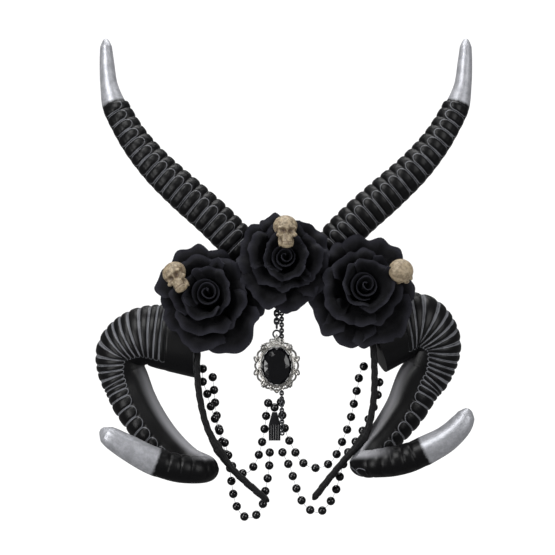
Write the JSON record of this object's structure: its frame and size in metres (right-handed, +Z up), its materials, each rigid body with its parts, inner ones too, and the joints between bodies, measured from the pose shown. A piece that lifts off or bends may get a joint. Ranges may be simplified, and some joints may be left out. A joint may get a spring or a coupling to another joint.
{
  "type": "devil horn headpiece",
  "caption": "Wrapped headband with ringed upper horns, curled ram horns, fabric roses with skull charms, a swinging forehead pendant and bead strings at the back.",
  "frame": {"origin": "underside of the headband at its highest point, where it sits on the crown of a head", "axes": "+Z up, -Y to the front where the roses and the pendant are, +X to the right as seen from the front"},
  "size_m": [0.2665, 0.0872, 0.3422],
  "materials": {
    "ribbon": "black satin ribbon",
    "horn_pvc": "glossy black moulded plastic with silver-painted tips",
    "petal_fabric": "matt black fabric",
    "bone_resin": "bone-coloured resin, brown wash",
    "antique_silver": "antiqued cast metal",
    "black_stone": "polished black faceted stone",
    "gunmetal": "gunmetal plated wire",
    "black_bead": "glossy black beads",
    "comb_plastic": "black moulded plastic"
  },
  "bodies": {
    "root": {"headband": "ribbon", "horn_upper_left": "horn_pvc", "horn_upper_right": "horn_pvc", "horn_ram_left": "horn_pvc", "horn_ram_right": "horn_pvc", "rose_left_outer_petals": "petal_fabric", "rose_left_middle_petals": "petal_fabric", "rose_left_inner_petals": "petal_fabric", "rose_left_bud": "petal_fabric", "rose_middle_outer_petals": "petal_fabric", "rose_middle_middle_petals": "petal_fabric", "rose_middle_inner_petals": "petal_fabric", "rose_middle_bud": "petal_fabric", "rose_right_outer_petals": "petal_fabric", "rose_right_middle_petals": "petal_fabric", "rose_right_inner_petals": "petal_fabric", "rose_right_bud": "petal_fabric", "skull_left": "bone_resin", "skull_middle": "bone_resin", "skull_right": "bone_resin", "jump_ring": "gunmetal", "pendant_chain": "gunmetal", "back_chain": "gunmetal", "back_comb": "comb_plastic", "gather_bead": "black_bead", "beads_left_outer": "black_bead", "beads_left_inner": "black_bead", "beads_right_inner": "black_bead", "beads_right_outer": "black_bead"},
    "pendant": {"pendant_setting": "antique_silver", "pendant_stone": "black_stone"}
  },
  "joints": [
    {"name": "pendant_swing", "type": "hinge", "parent": "root", "child": "pendant", "pos_m": [-0.0065, -0.0034, -0.0487], "axis": [1, 0, 0], "range_deg": [-75, 6]}
  ]
}
